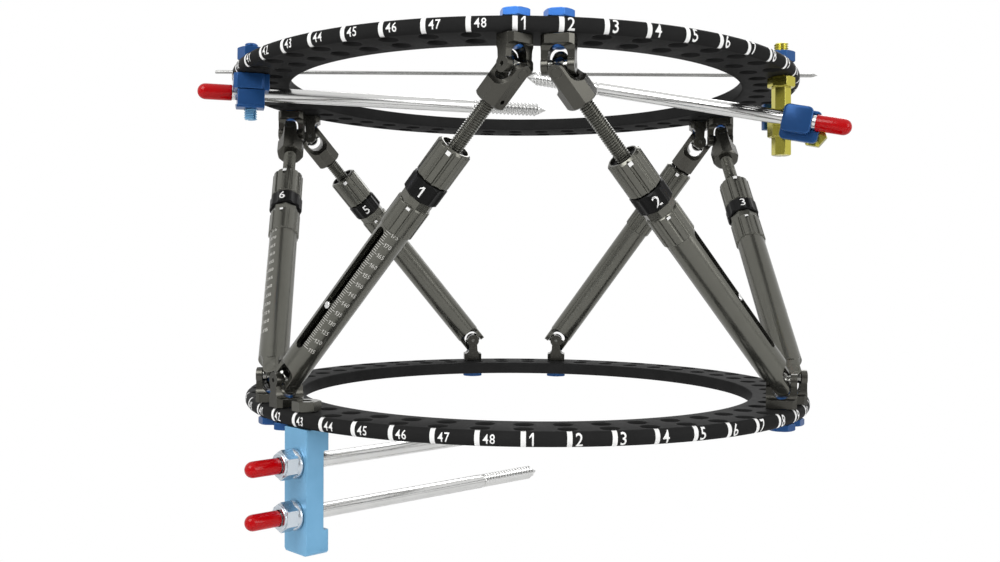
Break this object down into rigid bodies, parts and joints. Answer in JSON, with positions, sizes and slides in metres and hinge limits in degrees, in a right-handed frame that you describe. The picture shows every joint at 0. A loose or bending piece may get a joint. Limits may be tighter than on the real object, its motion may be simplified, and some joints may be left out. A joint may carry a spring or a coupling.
{
  "type": "external fixator",
  "caption": "Circular external fixator: two perforated rings joined by telescopic struts with universal joints, with half pins, a wire and their clamps.",
  "frame": {"origin": "centre of the lower ring, at the middle of its thickness", "axes": "+Z along the lower ring's axis to the upper ring, -Y towards ring position 1 (the front in the picture), +X to the right"},
  "size_m": [0.2717, 0.2566, 0.2074],
  "materials": {
    "black_composite": "satin black carbon composite",
    "gunmetal": "satin grey anodised",
    "polished_steel": "polished",
    "blue_anodised": "satin blue anodised",
    "light_blue_anodised": "satin light blue anodised",
    "gold_titanium": "gold anodised"
  },
  "bodies": {
    "lower_frame": {"lower_ring": "black_composite", "pin_block": "light_blue_anodised", "lower_pin_1": "polished_steel", "lower_pin_2": "polished_steel", "pin_nut_1": "polished_steel", "pin_nut_2": "polished_steel", "lower_yoke_1": "gunmetal", "lower_yoke_2": "gunmetal", "lower_yoke_3": "gunmetal", "lower_yoke_4": "gunmetal", "lower_yoke_5": "gunmetal", "lower_yoke_6": "gunmetal"},
    "upper_frame": {"upper_ring": "black_composite", "wire": "polished_steel", "left_clamp_block": "blue_anodised", "left_clamp_foot": "blue_anodised", "left_clamp_stud": "blue_anodised", "upper_left_pin": "polished_steel", "right_post": "gold_titanium", "right_post_nut": "blue_anodised", "right_clamp_body": "blue_anodised", "right_clamp_jaw": "blue_anodised", "right_clamp_screw": "gold_titanium", "upper_right_pin": "polished_steel", "upper_yoke_1": "gunmetal", "upper_yoke_2": "gunmetal", "upper_yoke_3": "gunmetal", "upper_yoke_4": "gunmetal", "upper_yoke_5": "gunmetal", "upper_yoke_6": "gunmetal"},
    "lower_cross_body_1": {"lower_cross_1": "polished_steel"},
    "tube_1": {"strut_tube_1": "gunmetal"},
    "rod_1": {"threaded_rod_1": "gunmetal"},
    "nut_1": {"adjusting_nut_1": "gunmetal"},
    "upper_cross_body_1": {"upper_cross_1": "polished_steel"},
    "lower_cross_body_2": {"lower_cross_2": "polished_steel"},
    "tube_2": {"strut_tube_2": "gunmetal"},
    "rod_2": {"threaded_rod_2": "gunmetal"},
    "nut_2": {"adjusting_nut_2": "gunmetal"},
    "upper_cross_body_2": {"upper_cross_2": "polished_steel"},
    "lower_cross_body_3": {"lower_cross_3": "polished_steel"},
    "tube_3": {"strut_tube_3": "gunmetal"},
    "rod_3": {"threaded_rod_3": "gunmetal"},
    "nut_3": {"adjusting_nut_3": "gunmetal"},
    "upper_cross_body_3": {"upper_cross_3": "polished_steel"},
    "lower_cross_body_4": {"lower_cross_4": "polished_steel"},
    "tube_4": {"strut_tube_4": "gunmetal"},
    "rod_4": {"threaded_rod_4": "gunmetal"},
    "nut_4": {"adjusting_nut_4": "gunmetal"},
    "upper_cross_body_4": {"upper_cross_4": "polished_steel"},
    "lower_cross_body_5": {"lower_cross_5": "polished_steel"},
    "tube_5": {"strut_tube_5": "gunmetal"},
    "rod_5": {"threaded_rod_5": "gunmetal"},
    "nut_5": {"adjusting_nut_5": "gunmetal"},
    "upper_cross_body_5": {"upper_cross_5": "polished_steel"},
    "lower_cross_body_6": {"lower_cross_6": "polished_steel"},
    "tube_6": {"strut_tube_6": "gunmetal"},
    "rod_6": {"threaded_rod_6": "gunmetal"},
    "nut_6": {"adjusting_nut_6": "gunmetal"},
    "upper_cross_body_6": {"upper_cross_6": "polished_steel"}
  },
  "joints": [
    {"name": "ring_distraction", "type": "slide", "parent": "lower_frame", "child": "upper_frame", "axis": [0, 0, 1], "range_m": [0, 0.01]},
    {"name": "lower_yoke_pivot_1", "type": "hinge", "parent": "lower_frame", "child": "lower_cross_body_1", "pos_m": [-0.09623, -0.07384, 0.0141], "axis": [0.7431, 0.6691, 0], "range_deg": [-2.23, 0]},
    {"name": "lower_fork_pivot_1", "type": "hinge", "parent": "lower_cross_body_1", "child": "tube_1", "pos_m": [-0.09623, -0.07384, 0.0141], "axis": [0.5221, -0.5799, -0.6254], "range_deg": [0, 0.6508]},
    {"name": "rod_slide_1", "type": "slide", "parent": "tube_1", "child": "rod_1", "axis": [0.5827, -0.2929, 0.7581], "range_m": [0, 0.00771]},
    {"name": "nut_turn_1", "type": "hinge", "parent": "tube_1", "child": "nut_1", "pos_m": [-0.03534, -0.10445, 0.09332], "axis": [0.5827, -0.2929, 0.7581], "range_deg": [0, 2775.45]},
    {"name": "upper_yoke_pivot_1", "type": "hinge", "parent": "upper_frame", "child": "upper_cross_body_1", "pos_m": [-0.00438, -0.12002, 0.13361], "axis": [0.7438, 0.6673, -0.0381], "range_deg": [-2.19, 0]},
    {"name": "lower_yoke_pivot_2", "type": "hinge", "parent": "lower_frame", "child": "lower_cross_body_2", "pos_m": [0.10505, -0.06065, 0.0141], "axis": [-0.9781, 0.2079, 0], "range_deg": [0, 2.05]},
    {"name": "lower_fork_pivot_2", "type": "hinge", "parent": "lower_cross_body_2", "child": "tube_2", "pos_m": [0.10505, -0.06065, 0.0141], "axis": [0.1753, 0.8246, 0.538], "range_deg": [0, 1.41]},
    {"name": "rod_slide_2", "type": "slide", "parent": "tube_2", "child": "rod_2", "axis": [-0.576, -0.3572, 0.7352], "range_m": [0, 0.00749]},
    {"name": "nut_turn_2", "type": "hinge", "parent": "tube_2", "child": "nut_2", "pos_m": [0.04485, -0.09798, 0.09093], "axis": [-0.576, -0.3572, 0.7352], "range_deg": [0, 2695.52]},
    {"name": "upper_yoke_pivot_2", "type": "hinge", "parent": "upper_frame", "child": "upper_cross_body_2", "pos_m": [0.01143, -0.11871, 0.13359], "axis": [-0.9782, 0.2069, -0.0164], "range_deg": [0, 2.02]},
    {"name": "lower_yoke_pivot_3", "type": "hinge", "parent": "lower_frame", "child": "lower_cross_body_3", "pos_m": [0.11207, -0.04642, 0.0141], "axis": [-1, 0, 0], "range_deg": [-2.52, 0]},
    {"name": "lower_fork_pivot_3", "type": "hinge", "parent": "lower_cross_body_3", "child": "tube_3", "pos_m": [0.11207, -0.04642, 0.0141], "axis": [0, 0.7034, -0.7108], "range_deg": [0, 0.2374]},
    {"name": "rod_slide_3", "type": "slide", "parent": "tube_3", "child": "rod_3", "axis": [-0.0935, 0.7077, 0.7003], "range_m": [0, 0.00716]},
    {"name": "nut_turn_3", "type": "hinge", "parent": "tube_3", "child": "nut_3", "pos_m": [0.10229, 0.02753, 0.08728], "axis": [-0.0935, 0.7077, 0.7003], "range_deg": [0, 2577.67]},
    {"name": "upper_yoke_pivot_3", "type": "hinge", "parent": "upper_frame", "child": "upper_cross_body_3", "pos_m": [0.09755, 0.06338, 0.12275], "axis": [-1, -0.0002, -0.0038], "range_deg": [-2.52, 0]},
    {"name": "lower_yoke_pivot_4", "type": "hinge", "parent": "lower_frame", "child": "lower_cross_body_4", "pos_m": [0.01583, 0.12026, 0.0141], "axis": [-0.0349, -0.9994, 0], "range_deg": [0, 2.33]},
    {"name": "lower_fork_pivot_4", "type": "hinge", "parent": "lower_cross_body_4", "child": "tube_4", "pos_m": [0.01583, 0.12026, 0.0141], "axis": [-0.8234, 0.0288, 0.5668], "range_deg": [0, 0.9923]},
    {"name": "rod_slide_4", "type": "slide", "parent": "tube_4", "child": "rod_4", "axis": [0.5296, -0.3197, 0.7857], "range_m": [0, 0.00799]},
    {"name": "nut_turn_4", "type": "hinge", "parent": "tube_4", "child": "nut_4", "pos_m": [0.07118, 0.08685, 0.0962], "axis": [0.5296, -0.3197, 0.7857], "range_deg": [0, 2875.89]},
    {"name": "upper_yoke_pivot_4", "type": "hinge", "parent": "upper_frame", "child": "upper_cross_body_4", "pos_m": [0.08851, 0.07639, 0.12192], "axis": [-0.0352, -0.9975, 0.0611], "range_deg": [0, 2.41]},
    {"name": "lower_yoke_pivot_5", "type": "hinge", "parent": "lower_frame", "child": "lower_cross_body_5", "pos_m": [-0.03139, 0.11717, 0.0141], "axis": [0.1219, -0.9925, 0], "range_deg": [-2.45, 0]},
    {"name": "lower_fork_pivot_5", "type": "hinge", "parent": "lower_cross_body_5", "child": "tube_5", "pos_m": [-0.03139, 0.11717, 0.0141], "axis": [-0.7714, -0.0947, -0.6293], "range_deg": [0, 0.9417]},
    {"name": "rod_slide_5", "type": "slide", "parent": "tube_5", "child": "rod_5", "axis": [-0.5525, -0.3911, 0.7361], "range_m": [0, 0.00751]},
    {"name": "nut_turn_5", "type": "hinge", "parent": "tube_5", "child": "nut_5", "pos_m": [-0.08913, 0.0763, 0.09102], "axis": [-0.5525, -0.3911, 0.7361], "range_deg": [0, 2703.33]},
    {"name": "upper_yoke_pivot_5", "type": "hinge", "parent": "upper_frame", "child": "upper_cross_body_5", "pos_m": [-0.11251, 0.05975, 0.12217], "axis": [0.1219, -0.9907, 0.0612], "range_deg": [-2.54, 0]},
    {"name": "lower_yoke_pivot_6", "type": "hinge", "parent": "lower_frame", "child": "lower_cross_body_6", "pos_m": [-0.10505, -0.06065, 0.0141], "axis": [1, 0, 0], "range_deg": [0, 2.51]},
    {"name": "lower_fork_pivot_6", "type": "hinge", "parent": "lower_cross_body_6", "child": "tube_6", "pos_m": [-0.10505, -0.06065, 0.0141], "axis": [0, -0.7164, 0.6977], "range_deg": [-0.2443, 0]},
    {"name": "rod_slide_6", "type": "slide", "parent": "tube_6", "child": "rod_6", "axis": [-0.0932, 0.6947, 0.7133], "range_m": [0, 0.00729]},
    {"name": "nut_turn_6", "type": "hinge", "parent": "tube_6", "child": "nut_6", "pos_m": [-0.11479, 0.01194, 0.08864], "axis": [-0.0932, 0.6947, 0.7133], "range_deg": [0, 2623.05]},
    {"name": "upper_yoke_pivot_6", "type": "hinge", "parent": "upper_frame", "child": "upper_cross_body_6", "pos_m": [-0.11929, 0.04543, 0.12302], "axis": [1, 0.0002, 0.0038], "range_deg": [0, 2.51]}
  ],
  "couplings": [
    {"joint": "lower_yoke_pivot_1", "follows": "ring_distraction", "rad_per_m": -3.8834},
    {"joint": "lower_fork_pivot_1", "follows": "ring_distraction", "rad_per_m": 1.1359},
    {"joint": "rod_slide_1", "follows": "ring_distraction", "ratio": 0.77096},
    {"joint": "nut_turn_1", "follows": "ring_distraction", "rad_per_m": 4844.1},
    {"joint": "upper_yoke_pivot_1", "follows": "ring_distraction", "rad_per_m": -3.8278},
    {"joint": "lower_yoke_pivot_2", "follows": "ring_distraction", "rad_per_m": 3.5806},
    {"joint": "lower_fork_pivot_2", "follows": "ring_distraction", "rad_per_m": 2.4535},
    {"joint": "rod_slide_2", "follows": "ring_distraction", "ratio": 0.74875},
    {"joint": "nut_turn_2", "follows": "ring_distraction", "rad_per_m": 4704.6},
    {"joint": "upper_yoke_pivot_2", "follows": "ring_distraction", "rad_per_m": 3.5249},
    {"joint": "lower_yoke_pivot_3", "follows": "ring_distraction", "rad_per_m": -4.3983},
    {"joint": "lower_fork_pivot_3", "follows": "ring_distraction", "rad_per_m": 0.41441},
    {"joint": "rod_slide_3", "follows": "ring_distraction", "ratio": 0.71602},
    {"joint": "nut_turn_3", "follows": "ring_distraction", "rad_per_m": 4498.9},
    {"joint": "upper_yoke_pivot_3", "follows": "ring_distraction", "rad_per_m": -4.3961},
    {"joint": "lower_yoke_pivot_4", "follows": "ring_distraction", "rad_per_m": 4.072},
    {"joint": "lower_fork_pivot_4", "follows": "ring_distraction", "rad_per_m": 1.7318},
    {"joint": "rod_slide_4", "follows": "ring_distraction", "ratio": 0.79886},
    {"joint": "nut_turn_4", "follows": "ring_distraction", "rad_per_m": 5019.4},
    {"joint": "upper_yoke_pivot_4", "follows": "ring_distraction", "rad_per_m": 4.2052},
    {"joint": "lower_yoke_pivot_5", "follows": "ring_distraction", "rad_per_m": -4.2834},
    {"joint": "lower_fork_pivot_5", "follows": "ring_distraction", "rad_per_m": 1.6436},
    {"joint": "rod_slide_5", "follows": "ring_distraction", "ratio": 0.75092},
    {"joint": "nut_turn_5", "follows": "ring_distraction", "rad_per_m": 4718.2},
    {"joint": "upper_yoke_pivot_5", "follows": "ring_distraction", "rad_per_m": -4.4249},
    {"joint": "lower_yoke_pivot_6", "follows": "ring_distraction", "rad_per_m": 4.3796},
    {"joint": "lower_fork_pivot_6", "follows": "ring_distraction", "rad_per_m": -0.42638},
    {"joint": "rod_slide_6", "follows": "ring_distraction", "ratio": 0.72863},
    {"joint": "nut_turn_6", "follows": "ring_distraction", "rad_per_m": 4578.1},
    {"joint": "upper_yoke_pivot_6", "follows": "ring_distraction", "rad_per_m": 4.3774}
  ]
}
